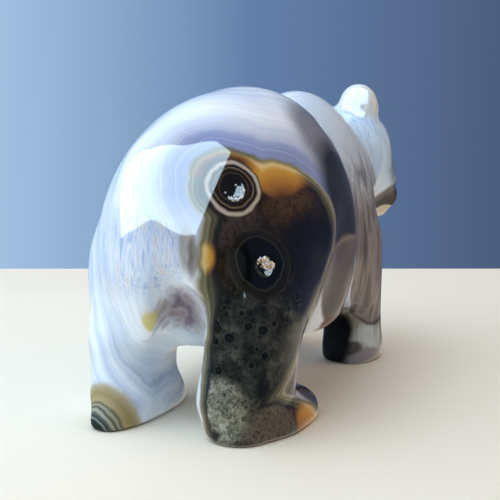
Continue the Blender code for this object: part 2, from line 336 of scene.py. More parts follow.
BEAR = (
    Step(Egg(0, 32, 35, 25.3, 38, 34, power=1.95)),  # rump
    Step(Egg(0, 41, 36, 24.4, 17.5, 32.6, power=2.1), 6),  # barrel
    Step(Egg(0, 67.5, 31, 21.6, 16, 37.8), 9),  # shoulders
    Step(Egg(-1, -7, 8, 13, 17, 24), 5, Work.GRIND),  # crotch
    Step(Below(15), 4, Work.GRIND),  # flat of the belly
    Step(LOBE, 3),  # lobe between the hind legs
    Step(Carved(RIGHT_HIND), 3.5),  # right hind leg
    Step(Carved(LEFT_HIND), 3.5),  # left hind leg
    Step(Carved(SCOOP), 3.5, Work.GRIND),  # scoop beside the lobe
    Step(Limb(Ball(-12.8, -4.4, 40, 0.5), Ball(-12.2, -2.2, 28, 0.9)), 3, Work.GRIND),  # groove beside it
    Step(Limb(Ball(31.3, 38.5, 42, 5.2), Ball(29.3, 29.5, 15, 7.8)), 4, Work.GRIND),  # right flank's crease
    Step(Limb(Ball(-31.3, 38.5, 42, 5.2), Ball(-29.3, 29.5, 15, 7.8)), 4, Work.GRIND),  # left flank's crease
    Step(Carved(RIGHT_FORE), 5),  # right fore leg
    Step(Carved(LEFT_FORE), 5),  # left fore leg
    Step(Limb(Ball(1, 76, 47, 15), Ball(4.5, 86, 50, 12)), 6),  # neck
    Step(Carved(HEAD), 4),  # head
    Step(Egg(9.7, 85.9, 63.6, 5.5, 3.6, 6.9, power=2.1), 1.8),  # right ear
    Step(Egg(-5.2, 91, 58.2, 5.5, 3.5, 6.3, power=2.1), 1.8),  # left ear
    Step(Egg(10.3, 90.6, 65.2, 3.2, 3.2, 4.2), 1.2, Work.GRIND),  # right ear's hollow
    Step(Egg(-4.2, 95.4, 60, 3.2, 3.2, 4), 1.2, Work.GRIND),  # left ear's hollow
    Step(Egg(14.9, 98, 50.6, 1.7, 1.7, 1.7), 0.8, Work.GRIND),  # right eye
    Step(Egg(2.4, 101.2, 49.6, 1.7, 1.7, 1.7), 0.8, Work.GRIND),  # left eye
    Step(Below(0), 1.5, Work.GRIND),  # flat soles
)


# The stone's colours, placed in the frame in millimetres


@dataclass(frozen=True)
class Lens:
    """A lens-shaped part of the stone, as the centre and half sizes of an ellipsoid."""

    centre: Triple
    radii: Triple

    @property
    def scale(self) -> float:
        """The lens's mean half size, which turns shares of it into millimetres."""
        return sum(self.radii) / 3


@dataclass(frozen=True)
class Noise:
    """An unevenness, by its size and detail, and by its share where several are mixed, banded or cloudy."""

    size: float
    detail: float
    roughness: float = 0.5
    share: float = 1.0
    banded: bool = False

    def inputs(self) -> dict:
        """The noise node's own inputs."""
        return {"Scale": 1 / self.size, "Detail": self.detail, "Roughness": self.roughness}


@dataclass(frozen=True)
class StainOrPaintedLight(Lens):
    """A soft-edged colour in a lens of the stone; two are painted light, a highlight and shade."""

    colour: str
    soft: float
    strength: float = 1.0


@dataclass(frozen=True)
class Streaks(Lens):
    """Fine streaks in a lens of the stone, by their spacing along each axis; one set is a painted
    reflection.
    """

    spacing: Triple
    stops: Stops
    soft: float


@dataclass(frozen=True)
class Patch(Lens):
    """A lens of colour that starts to show at its outer distance and is whole at its inner one."""

    outer: float
    inner: float
    wavy: bool = True


@dataclass(frozen=True)
class Eye:
    """Rings about a place in the stone, coloured by their distance from it."""

    centre: Triple
    stops: Stops
    soft: float


STAINS_AND_PAINTED_LIGHT = (
    # the grey that darkens into the purple-black band down the front edge of the rump
    StainOrPaintedLight((-19.5, 12.5, 60), (10, 9, 9.5), "#67646F", 8, 0.85),
    StainOrPaintedLight((-27, 12.5, 46), (9.5, 9.5, 16), "#1D1A20", 6.5, 0.96),
    # grey-mauve flank, with a painted highlight as its pale rim
    StainOrPaintedLight((-25.5, 10.5, 25.5), (8, 9.5, 12.6), "#94897A", 1.2, 0.9),
    StainOrPaintedLight((-25.5, 10.5, 25), (8, 9, 12.2), "#6E6864", 1.6, 1),
    # brown wedge and tan edge along the belly
    StainOrPaintedLight((-21, 10, 14), (7, 9, 3.2), "#A8946E", 1, 0.9),
    StainOrPaintedLight((-21, 9, 16.4), (7, 8, 1.8), "#6A3F28", 1, 0.95),
    # the fore leg's olive front, pale foot, stripes and black heel
    StainOrPaintedLight((-17, -18, 9), (9, 9, 12), "#989280", 5, 0.95),
    StainOrPaintedLight((-21, -18, 6.4), (6, 5, 4), "#CDD5D8", 3, 0.92),
    StainOrPaintedLight((-18.5, -17, 1.6), (7, 8, 2.4), "#8E8A92", 2, 0.9),
    StainOrPaintedLight((-17, -15, 4.2), (2.6, 4, 1.3), "#4C4644", 1.6, 0.9),
    StainOrPaintedLight((-10.8, -13.5, 6.5), (5.8, 6, 9), "#17181B", 3, 1),
    # beige and grey shoulder, dark-edged where it ends on the fore leg
    StainOrPaintedLight((-22, -19, 38), (14, 14, 29.3), "#46363A", 0.8, 0.95),
    StainOrPaintedLight((-22, -18.5, 38.2), (13.6, 13.6, 28.6), "#97908C", 1, 0.95),
    StainOrPaintedLight((-16, -10, 62), (16, 14, 19), "#C2CCD6", 10, 0.95),
    # the milky head, ahead of the shoulder's grey, with its cream right ear
    StainOrPaintedLight((-9.5, -40.5, 56), (14, 18.5, 15.5), "#D4EAFF", 2, 1),
    StainOrPaintedLight((-9.6, -34.6, 65.8), (6.6, 5, 6), "#E6E3DA", 2.5, 0.9),
    # painted shade: a brown darkening over the eye, from the ear to the muzzle, where the face turns from
    # the light
    StainOrPaintedLight((-15.5, -48, 56), (7, 10.5, 14), "#73645B", 4, 0.6),
    # purple-brown and yellow clouds in the lobe, and the tan streak beside it
    StainOrPaintedLight((-2.8, 46, 24.5), (4.6, 6, 8), "#857179", 7, 0.8),
    StainOrPaintedLight((-0.7, 54.2, 22.4), (2, 3.6, 4.2), "#D2C67C", 1.8, 0.9),
    StainOrPaintedLight((-8.6, 55, 39.6), (1.3, 3.6, 4.4), "#97855A", 2.8, 0.6),
    StainOrPaintedLight((-9.8, 54.2, 37.6), (1, 3, 4), "#5A4128", 2, 0.65),
    # the purple-grey top of the right hind foot
    StainOrPaintedLight((-20, 24, 4), (9, 10, 8), "#372F38", 3, 0.95),
    # the brown muzzle with its black nose and cream chin
    StainOrPaintedLight((-13.5, -48.5, 38.8), (7, 9.5, 4.6), "#42352E", 2.4, 0.95),
    StainOrPaintedLight((-12, -50.5, 34.4), (5.5, 9, 2.3), "#DCD2BC", 1, 0.95),
    StainOrPaintedLight((-11, -56, 39.8), (4.5, 4, 2.6), "#1D1714", 1.2, 1),
)

DARK_CLOUDS = (
    # plum-brown below the eye, red-brown below the amber, and near-black towards the flank
    StainOrPaintedLight((-15.5, 48, 43.5), (7.5, 7, 4.8), "#493C38", 3.5, 0.85),
    StainOrPaintedLight((-21.6, 33.2, 46.6), (5.5, 7, 4), "#5B4129", 5, 0.85),
    StainOrPaintedLight((-24, 29, 35.5), (8, 13, 7.5), "#0F0D0C", 6, 0.9),
    # olive-brown along the front of the thigh
    StainOrPaintedLight((-25, 27, 26), (6, 7.5, 11), "#2C251C", 4, 0.85),
    # a gold fleck below the crystals
    StainOrPaintedLight((-23.3, 36.2, 31.6), (0.6, 0.6, 0.6), "#E0A238", 0.5, 0.95),
    # dark brown-grey foot
    StainOrPaintedLight((-24, 44, 3), (8, 10, 5.5), "#6E6355", 4, 0.85),
)

STREAKS = (
    # the shoulder's grey-mauve streaks
    Streaks(
        (-22, -14, 30), (14, 15, 25), (2.4, 2.4, 34),
        ((0.34, "#A49E9E"), (0.45, "#DAD6D4"), (0.54, "#FFFFFF"), (0.66, "#C6C0BC")),
        8,
    ),
    # painted reflection of trees: fine vertical white, blue and warm streaks in the rump's middle
    Streaks(
        (3, 56, 37.5), (13, 9, 8.5), (0.8, 0.8, 12),
        ((0.36, "#C6D4EE"), (0.46, "#FFFFFF"), (0.54, "#D6E0F4"), (0.60, "#FFFFFF"), (0.66, "#F4E0D2")),
        5,
    ),
    # plum-brown streaks where the lobe meets the right leg
    Streaks(
        (-3, 46, 25), (6, 8, 9), (2.6, 2.6, 26),
        ((0.34, "#C9BCC4"), (0.46, "#EFE9EC"), (0.54, "#FFFFFF"), (0.66, "#E2D6CC")),
        4,
    ),
    # faint white streaks of the head
    Streaks(
        (-9.5, -40.5, 56), (14, 18, 15), (2.6, 2.6, 24),
        ((0.34, "#D3DEEB"), (0.45, "#FFFFFF"), (0.55, "#E2EAF4"), (0.66, "#FFFFFF")),
        4,
    ),
)

# gold below the round eye's right side and on the toes, and beside the lobe a painted reflection, a small
# gold glint
AMBERS_AND_PAINTED_GLINT = (
    Patch((-19.6, 34.6, 51.8), (8.8, 8.8, 7.8), 1.5, -3.5),
    Patch((-25, 33.5, 1.2), (5.5, 8.5, 4.4), 1, -2.5),
    # painted reflection: a gold glint beside the lobe
    Patch((-11.5, 52.3, 37.4), (2.4, 4, 3.3), 0.6, -1.6, wavy=False),
)

# the round eye of the haunch, and the banded eye of the left heel
EYES = (
    Eye(
        (-14.3, 44.9, 50.5),
        (
            (0, "#1A1512"), (2.9, "#171310"), (3.15, "#4A3B2C"), (3.35, "#191410"), (3.9, "#241C17"),
            (4.15, "#7D6B52"), (4.35, "#2C221C"), (4.75, "#17120F"), (5, "#8E8374"), (5.35, "#C2B8AA"),
            (5.7, "#A39888"), (5.95, "#4A3830"), (6.3, "#32241F"),
        ),
        0.35,
    ),
    Eye(
        (13.2, 56.5, -1),
        (
            (0, "#2F3937"), (3.4, "#262E2C"), (3.8, "#85897E"), (4.2, "#2F3634"), (4.9, "#595D57"),
            (5.4, "#A4A28D"), (5.9, "#45473E"), (6.4, "#9D987F"), (6.9, "#605E4B"), (7.4, "#A5966F"),
            (8.8, "#96845B"), (10.4, "#AFA385"), (12, "#C6C8CE"),
        ),
        1.8,
    ),
)

# places that the polishing wheel reached less: low on the heels, the leg's ridge, the hollows, a dip by the
# lower crystals, and under the muzzle
DULL_SPOTS = (
    Lens((13, 57, 2), (11, 11, 13)),
    Lens((-12, -13, 6), (7, 6, 9)),
    Lens((17, 52, 22), (7, 7, 6)),
    Lens((-14.8, -46.6, 50.6), (1.6, 1.6, 1.6)),
    Lens((-2.3, -49.8, 49.6), (1.6, 1.6, 1.6)),
    Lens((-10.2, -39.2, 65.2), (3, 3, 4)),
    Lens((4.3, -44, 60), (3, 3, 3.8)),
    Lens((-16.8, 49, 35.4), (2.2, 2.6, 4.2)),
    Lens((-15.5, -49, 36.6), (5, 7, 4.5)),
)


@dataclass(frozen=True)
class Finish:
    """A real material, by its name and by what it gives the shader."""

    name: str

    def values(self, tree: Tree) -> dict:
        """Gives the shader's inputs, each a value or a socket of the tree."""
        raise NotImplementedError

    def material(self) -> bpy.types.Material:
        """Builds the material.

        Returns:
            The material, with its own node tree.
        """
        material = bpy.data.materials.new(self.name)
        material.use_nodes = True
        tree = material.node_tree
        tree.nodes.clear()
        shader = add_node(tree, "BsdfPrincipled", self.values(tree))
        add_node(tree, "OutputMaterial", {"Surface": shader})
        return material


@dataclass(frozen=True)
class PolishedAgate(Finish):
    """Agate, a banded chalcedony, ground and then polished with oxide to a glassy face.

    The polish mirrors the light sharply, with chalcedony's index of 1.54, and the milky quartz below it lets
    light in a few millimetres, which softens the shading. Iron and manganese give its brown, gold and black.
    """

    name: str = "polished_agate"
    ior: float = 1.54

    # the polish, and the millimetres outside a dull spot over which it fades
    roughness: float = 0.045
    dull_roughness: float = 0.55
    dull_span: Span = (0.4, -1.2)
    mirror: float = 0.5
    dull_mirror: float = 0.02
    mirror_span: Span = (2.2, 0.4)

    # how much light enters the stone, and how many millimetres deep
    glow: float = 0.3
    light_depth: float = 3.0
    blue_light_depth: float = 3.6

    # the dark part of the stone, and how softly its lenses run together
    haunch: Lens = Lens((-26, 39, 36), (21, 20, 20.5))
    leg: Lens = Lens((-24.5, 50, 9), (14.2, 17, 36))
    leg_blend: float = 3.0
    front_slant: Triple = (0, 0.743, 0.669)
    front_reach: float = 38.4
    front_blend: float = 2.0
    foot: Lens = Lens((-24, 53, -3), (12.5, 25.5, 12.2))
    foot_blend: float = 1.5
    eye_surround: Lens = Lens((-14.3, 44.9, 50.5), (8.2, 8.2, 8.2))
    eye_blend: float = 1.2
    heel: Patch = Patch((-14.5, 52.5, 7), (5.5, 6, 7), 1.5, -1.5)
    pocket: Patch = Patch((-20.9, 45.6, 35.9), (5.2, 5.2, 4.9), 4.6, 0.6)
    eye_gold: Patch = Patch((-12.5, 43, 55.5), (9, 9, 6), 1, -2)
    gold_widening: float = 0.68

    # the waves of the stone's layers, with how far they reach, and its other unevenness
    waves: tuple[tuple[Noise, float], ...] = ((Noise(14, 1.5), 4.4), (Noise(3.2, 1.5), 1))
    eye_waves: tuple[Noise, float] = (Noise(3, 1), 0.9)
    layers: tuple[Noise, ...] = (
        Noise(9, 2, share=0.45, banded=True),
        Noise(1.7, 3, roughness=0.65, share=0.30, banded=True),
        Noise(22, 2, share=0.25),
    )
    fine_lines: Noise = Noise(0.45, 1)
    # the streaks' noise, which also draws the painted reflection of trees
    streaks_and_reflection_noise: Noise = Noise(1, 3)
    mottle: Noise = Noise(3.5, 4, roughness=0.62)
    grain: Noise = Noise(0.8, 4, roughness=0.7)
    orb: float = 2.7
    smallest_orb: float = 0.3
    orb_growth: float = 0.75

    # where each colour starts to show and where it is whole
    lilac: str = "#7C8BBC"
    lilac_near: Span = (11, 3)
    lilac_high: Span = (36, 50)
    lilac_strength: float = 0.9
    line: str = "#E9EAF8"
    line_span: Span = (0.56, 0.72)
    line_strength: float = 0.35
    strip_near: Span = (9, 5.5)
    strip_low: Span = (37, 33)
    strip_right: Span = (-10, -14)
    green_low: Span = (36, 29)
    orb_edge: Span = (0.5, 0.15)
    rim_inner_edge: Span = (-2, -3.2)
    rim_outer_edge: Span = (1.9, 0.7)

    milky: Stops = (
        (0.30, "#9AA3BF"), (0.38, "#B8C3DA"), (0.46, "#D3DDEA"), (0.54, "#E3EAF2"), (0.66, "#F5F8FB"),
    )
    belly_strip: Stops = (
        (-0.5, "#3A3026"), (0.4, "#8A7050"), (1.1, "#3E332A"), (1.9, "#7A6248"), (2.6, "#463B3F"),
        (4.2, "#5B515E"), (7.5, "#6B626E"),
    )
    brown: Stops = ((0.36, "#1B1511"), (0.5, "#2C2018"), (0.62, "#3A291D"), (0.75, "#513521"))
    green: Stops = ((0.34, "#161714"), (0.47, "#252621"), (0.6, "#41423A"), (0.75, "#6A6B60"))
    orb_rings: Stops = (
        (-0.9, "#161714"), (-0.6, "#0E0F0D"), (-0.45, "#23241F"), (-0.3, "#0C0D0B"), (0, "#12130F"),
        (0.18, "#44453C"), (0.4, "#33342D"),
    )
    pale_heel: Stops = (
        (0.34, "#4C4D45"), (0.42, "#8A8977"), (0.46, "#65665A"), (0.5, "#A3A18D"), (0.55, "#7E7D6E"),
        (0.6, "#B8B6A5"), (0.68, "#8E8C7D"),
    )
    dark_grain: Stops = ((0.36, "#8C8C84"), (0.48, "#E2E2DC"), (0.6, "#FFFFFF"))
    pocket_rings: Stops = (
        (-1.5, "#0A0A0C"), (0, "#0B0B0B"), (0.35, "#2F2F26"), (0.7, "#16150F"), (1.9, "#1B1913"),
        (2.2, "#332D20"), (2.6, "#1A1711"), (3.4, "#1D1912"),
    )
    rim: Stops = (
        (-2.4, "#1C1B17"), (-1.6, "#302F27"), (-1, "#5A5642"), (-0.6, "#48442F"), (-0.1, "#807A5D"),
        (0.4, "#6E6852"), (0.9, "#A29C88"), (1.7, "#A7A9AC"),
    )
    eye_rim: Stops = (
        (-2.2, "#2B1C18"), (-1.7, "#4A2D20"), (-1, "#6C4629"), (-0.5, "#866031"), (-0.1, "#A08046"),
        (0.2, "#857A55"), (0.7, "#6C6A50"), (1.5, "#80827C"),
    )
    gold_rim: Stops = (
        (-2.9, "#33231A"), (-2.3, "#5F3D25"), (-1.7, "#96642F"), (-1, "#B98234"), (-0.35, "#CE9C42"),
        (0, "#DDC388"), (0.25, "#8F8358"), (0.7, "#6C6A50"), (1.5, "#80827C"),
    )

    def values(self, tree: Tree) -> dict:
        """Lays the stone's pattern and gives the shader's inputs.

        Args:
            tree: The material's node tree.

        Returns:
            Each input's name to its value or socket.
        """
        pattern = AgatePattern(tree, self)
        dullness = pattern.from_dull_spots()
        blends = (
            ("Roughness", self.dull_span, self.roughness, self.dull_roughness),
            ("Specular IOR Level", self.mirror_span, self.mirror, self.dull_mirror),
        )
        gloss = {}
        for name, (start, end), glassy, dull in blends:
            ends = {"From Min": start, "From Max": end, "To Min": glassy, "To Max": dull}
            gloss[name] = add_node(tree, "MapRange", {"Value": dullness, **ends})
        depth, blue_depth = self.light_depth * MM, self.blue_light_depth * MM
        return {
            "Base Color": pattern.colour(),
            **gloss,
            "IOR": self.ior,
            "Subsurface Weight": self.glow,
            "Subsurface Radius": (depth, depth, blue_depth),
            "Subsurface Scale": 1.0,
        }


class AgatePattern:
    """The agate's pattern while its nodes are laid, with the distances that its colours follow."""

    def __init__(self, tree: Tree, stone: PolishedAgate) -> None:
        """Finds the place in the stone, plain and with its layers' waviness, and the dark part's edges.

        Args:
            tree: The material's node tree.
            stone: The agate's sizes and colours.
        """
        self.stone, self.add = stone, partial(add_node, tree)
        surface = self.add("TexCoord", output="Object")
        self.plain = self.add("VectorMath", {0: surface, "Scale": 1 / MM}, operation="SCALE")
        self.wavy = self.plain
        for noise, reach in stone.waves:
            self.wavy = self.pushed(self.wavy, noise, reach)
        self.right = self.add("SeparateXYZ", {0: self.wavy}, output="X")
        self.high = self.add("SeparateXYZ", {0: self.wavy}, output="Z")
        slanted = {0: self.wavy, 1: stone.front_slant}
        slant = self.add("VectorMath", slanted, output="Value", operation="DOT_PRODUCT")
        self.front = self.add("Math", {0: stone.front_reach, 1: slant}, operation="SUBTRACT")
        bounds = (
            (self.depth(self.wavy, stone.leg), stone.leg_blend, "SMOOTH_MIN"),
            (self.front, stone.front_blend, "SMOOTH_MAX"),
            (self.depth(self.wavy, stone.foot), stone.foot_blend, "SMOOTH_MIN"),
            (self.depth(self.wavy, stone.eye_surround), stone.eye_blend, "SMOOTH_MIN"),
        )
        self.outside = self.depth(self.wavy, stone.haunch)
        for bound, soft, way in bounds:
            self.outside = self.add("Math", {0: self.outside, 1: bound, 2: soft}, operation=way)

    def pushed(self, place: Socket, noise: Noise, reach: float) -> Socket:
        """Pushes a place about softly.

        Args:
            place: A place in millimetres.
            noise: The unevenness of the push.
            reach: Its whole range in millimetres.

        Returns:
            The place with its push.
        """
        push = self.add("TexNoise", {"Vector": self.plain, **noise.inputs()}, output="Color")
        push = self.add("VectorMath", {0: push, 1: (0.5, 0.5, 0.5)}, operation="SUBTRACT")
        push = self.add("VectorMath", {0: push, "Scale": reach}, operation="SCALE")
        return self.add("VectorMath", {0: place, 1: push}, operation="ADD")

    def depth(self, place: Socket, lens: Lens) -> Socket:
        """Measures how far a place lies outside a lens of the stone.

        Args:
            place: A place in millimetres.
            lens: The lens.

        Returns:
            Millimetres outside the lens, negative inside it.
        """
        away = self.add("VectorMath", {0: place, 1: lens.centre}, operation="SUBTRACT")
        share = self.add("VectorMath", {0: away, 1: lens.radii}, operation="DIVIDE")
        reach = self.add("VectorMath", {0: share}, output="Value", operation="LENGTH")
        return self.add("Math", {0: reach, 1: lens.scale, 2: -lens.scale}, operation="MULTIPLY_ADD")

    def edge(self, patch: Patch) -> tuple[Socket, float, float]:
        """Gives the distance from a patch, with where the patch starts to show and where it is whole."""
        return self.depth(self.wavy if patch.wavy else self.plain, patch), patch.outer, patch.inner

    def ramp(self, value: Socket, stops: Stops) -> Socket:
        """Colours a value by stops at real values.

        Args:
            value: The value.
            stops: Each stop's value and colour, the lowest first.

        Returns:
            The colour.
        """
        low, high = stops[0][0], stops[-1][0]
        share = self.add("MapRange", {"Value": value, "From Min": low, "From Max": high})
        placed = tuple(((at - low) / (high - low), colour) for at, colour in stops)
        return self.add("ValToRGB", {"Fac": share}, stops=placed)

    def shown(self, *spans: tuple[Socket, float, float], strength: float = 1.0) -> Socket | float:
        """Works out how much of something shows.

        Args:
            spans: Each value, where nothing shows and where all does.
            strength: The most that shows.

        Returns:
            The share that shows.
        """
        for value, none, full in spans:
            ends = {"Value": value, "From Min": none, "From Max": full}
            share = self.add("MapRange", ends, interpolation_type="SMOOTHSTEP")
            strength = self.add("Math", {0: share, 1: strength}, operation="MULTIPLY")
        return strength

    def laid(self, under: Socket, colour: Socket | str, share: Socket | float, way: str = "MIX") -> Socket:
        """Lays a colour over another.

        Args:
            under: The colour below.
            colour: The colour on top, a socket or an sRGB hex colour.
            share: How much of it shows.
            way: How the two are mixed.

        Returns:
            The colour of both.
        """
        top = linear(colour) if isinstance(colour, str) else colour
        mixed = {"Factor": share, 6: under, 7: top}
        return self.add("Mix", mixed, output=2, data_type="RGBA", blend_type=way)

    def with_stains_and_light(self, colour: Socket, stains_and_light: tuple[StainOrPaintedLight, ...]) -> Socket:
        """Lays coloured lenses over the stone's colour, among them a painted highlight and painted shade.

        Args:
            colour: The colour so far.
            stains_and_light: The stone's coloured lenses and the painted light, the lowest first.

        Returns:
            The colour with the lenses laid on.
        """
        for stain_or_light in stains_and_light:
            span = (self.depth(self.wavy, stain_or_light), stain_or_light.soft / 2, -stain_or_light.soft / 2)
            colour = self.laid(colour, stain_or_light.colour, self.shown(span, strength=stain_or_light.strength))
        return colour

    def from_dull_spots(self) -> Socket:
        """Measures how far the stone lies outside the nearest spot that the polish reached less.

        Returns:
            Millimetres outside the spot, negative inside it.
        """
        nearest, *others = (self.depth(self.plain, spot) for spot in DULL_SPOTS)
        for reach in others:
            nearest = self.add("Math", {0: nearest, 1: reach}, operation="MINIMUM")
        return nearest

    def milky_stone(self) -> Socket:
        """Colours the milky chalcedony, in bands that follow the dark part outwards, and lays its coloured
        patches and streaks on it, among them a painted highlight, painted shade and a painted reflection of
        trees.

        Returns:
            The colour.
        """
        stone, level = self.stone, 0.0
        for layer in stone.layers:
            place, way = ({"W": self.outside}, "1D") if layer.banded else ({"Vector": self.plain}, "3D")
            noise = self.add("TexNoise", place | layer.inputs(), noise_dimensions=way)
            level = self.add("Math", {0: noise, 1: layer.share, 2: level}, operation="MULTIPLY_ADD")
        colour = self.ramp(level, stone.milky)
        spans = ((self.outside, *stone.lilac_near), (self.high, *stone.lilac_high))
        colour = self.laid(colour, stone.lilac, self.shown(*spans, strength=stone.lilac_strength))
        lines = self.add("TexNoise", {"W": self.outside, **stone.fine_lines.inputs()}, noise_dimensions="1D")
        shown = self.shown((lines, *stone.line_span), strength=stone.line_strength)
        colour = self.with_stains_and_light(self.laid(colour, stone.line, shown), STAINS_AND_PAINTED_LIGHT)
        # the stone's streaks, and the painted reflection of trees in the rump's middle
        for streaks in STREAKS:
            drawn = self.add("VectorMath", {0: self.plain, 1: streaks.spacing}, operation="DIVIDE")
            noise = self.add("TexNoise", {"Vector": drawn, **stone.streaks_and_reflection_noise.inputs()})
            span = (self.depth(self.plain, streaks), streaks.soft / 2, -streaks.soft / 2)
            colour = self.laid(colour, self.ramp(noise, streaks.stops), self.shown(span), way="MULTIPLY")
        spans = (
            (self.front, *stone.strip_near), (self.high, *stone.strip_low), (self.right, *stone.strip_right),
        )
        return self.laid(colour, self.ramp(self.front, stone.belly_strip), self.shown(*spans))

    def orbs(self, dark: Socket) -> Socket:
        """Lays dark ringed orbs over the green-grey stone of the leg.

        Args:
            dark: The stone's colour there.

        Returns:
            The colour with the orbs.
        """
        stone = self.stone
        cells = self.add("TexVoronoi", {"Vector": self.plain, "Scale": 1 / stone.orb}, output="Distance")
        chance = self.add("SeparateColor", {0: cells.node.outputs["Color"]})
        grown = {0: chance, 1: stone.orb_growth, 2: stone.smallest_orb}
        size = self.add("Math", grown, operation="MULTIPLY_ADD")
        away = self.add("Math", {0: cells, 1: stone.orb}, operation="MULTIPLY")
        from_rim = self.add("Math", {0: away, 1: size}, operation="SUBTRACT")
        return self.laid(dark, self.ramp(from_rim, stone.orb_rings), self.shown((from_rim, *stone.orb_edge)))

    def dark_inside(self) -> Socket:
        """Colours the brown, black and green-grey stone inside the dark part's rim.

        Returns:
            The colour.
        """
        stone = self.stone
        mottle, grain = (
            self.add("TexNoise", {"Vector": self.plain, **noise.inputs()})
            for noise in (stone.mottle, stone.grain)
        )
        green = self.orbs(self.ramp(mottle, stone.green))
        inside = self.laid(self.ramp(mottle, stone.brown), green, self.shown((self.high, *stone.green_low)))
        inside = self.with_stains_and_light(inside, DARK_CLOUDS)
        inside = self.laid(inside, self.ramp(mottle, stone.pale_heel), self.shown(self.edge(stone.heel)))
        inside = self.laid(inside, self.ramp(grain, stone.dark_grain), 1.0, way="MULTIPLY")
        pocket = self.edge(stone.pocket)
        return self.laid(inside, self.ramp(pocket[0], stone.pocket_rings), self.shown(pocket))

    def dark_stone(self, colour: Socket) -> Socket:
        """Lays the dark stone of the haunch and leg, with its gold and olive rim and a painted gold glint,
        over the milky stone.

        Args:
            colour: The milky stone's colour.

        Returns:
            The colour of both.
        """
        stone, golden = self.stone, 0.0
        # gold patches of the stone, and the painted gold glint beside the lobe
        for gold_patch in AMBERS_AND_PAINTED_GLINT:
            golden = self.add("Math", {0: self.shown(self.edge(gold_patch)), 1: golden}, operation="MAXIMUM")
        wide = self.add("Math", {0: golden, 1: -stone.gold_widening, 2: 1.0}, operation="MULTIPLY_ADD")
        inward = self.add("Math", {0: self.outside, 1: wide}, operation="MULTIPLY")
        rim, eye_rim = self.ramp(self.outside, stone.rim), self.ramp(self.outside, stone.eye_rim)
        rim = self.laid(rim, eye_rim, self.shown(self.edge(stone.eye_gold)))
        rim = self.laid(rim, self.ramp(inward, stone.gold_rim), golden)
        dark = self.laid(rim, self.dark_inside(), self.shown((inward, *stone.rim_inner_edge)))
        return self.laid(colour, dark, self.shown((self.outside, *stone.rim_outer_edge)))

    def colour(self) -> Socket:
        """Colours the whole stone.

        Returns:
            The colour, with the two ringed eyes on top.
        """
        colour = self.dark_stone(self.milky_stone())
        place = self.pushed(self.plain, *self.stone.eye_waves)
        for eye in EYES:
            away = self.add("VectorMath", {0: place, 1: eye.centre}, output="Value", operation="DISTANCE")
            edge = eye.stops[-1][0]
            colour = self.laid(colour, self.ramp(away, eye.stops), self.shown((away, edge, edge - eye.soft)))
        return colour


@dataclass(frozen=True)
class DruzyQuartz(Finish):
    """Druzy quartz, the sugar of tiny clear crystals that grew free in a hollow of the agate.

    Each crystal face is flat and bright, and the milky agate behind gives it its colour.
    """

    colour: str
    clear_colour: str = "#F6F4EE"
    ior: float = 1.54
    roughness: float = 0.12
    clearness: float = 0.25
    # a crystal's size in metres, because their places are in metres
    grain: Noise = Noise(0.7 * MM, 2)
    colour_span: Span = (0.35, 0.65)

    def values(self, tree: Tree) -> dict:
        """Gives the shader's inputs, the colour a little varied from crystal to crystal.

        Args:
            tree: The material's node tree.

        Returns:
            Each input's name to its value or socket.
        """
        surface = add_node(tree, "TexCoord", output="Object")
        noise = add_node(tree, "TexNoise", {"Vector": surface, **self.grain.inputs()})
        low, high = self.colour_span
        share = add_node(tree, "MapRange", {"Value": noise, "From Min": low, "From Max": high})
        mixed = {"Factor": share, 6: linear(self.colour), 7: linear(self.clear_colour)}
        return {
            "Base Color": add_node(tree, "Mix", mixed, output=2, data_type="RGBA"),
            "Roughness": self.roughness,
            "IOR": self.ior,
            "Transmission Weight": self.clearness,
        }


@dataclass(frozen=True)
class PaintedBoard(Finish):
    """A pale painted board, matt and plain, that the bear stands on."""

    name: str = "pale_table"
    colour: str = "#DFD2BC"
    roughness: float = 0.6

    def values(self, tree: Tree) -> dict:
        """Gives the shader's plain inputs."""
        return {"Base Color": linear(self.colour), "Roughness": self.roughness}


# The carving and its crystals


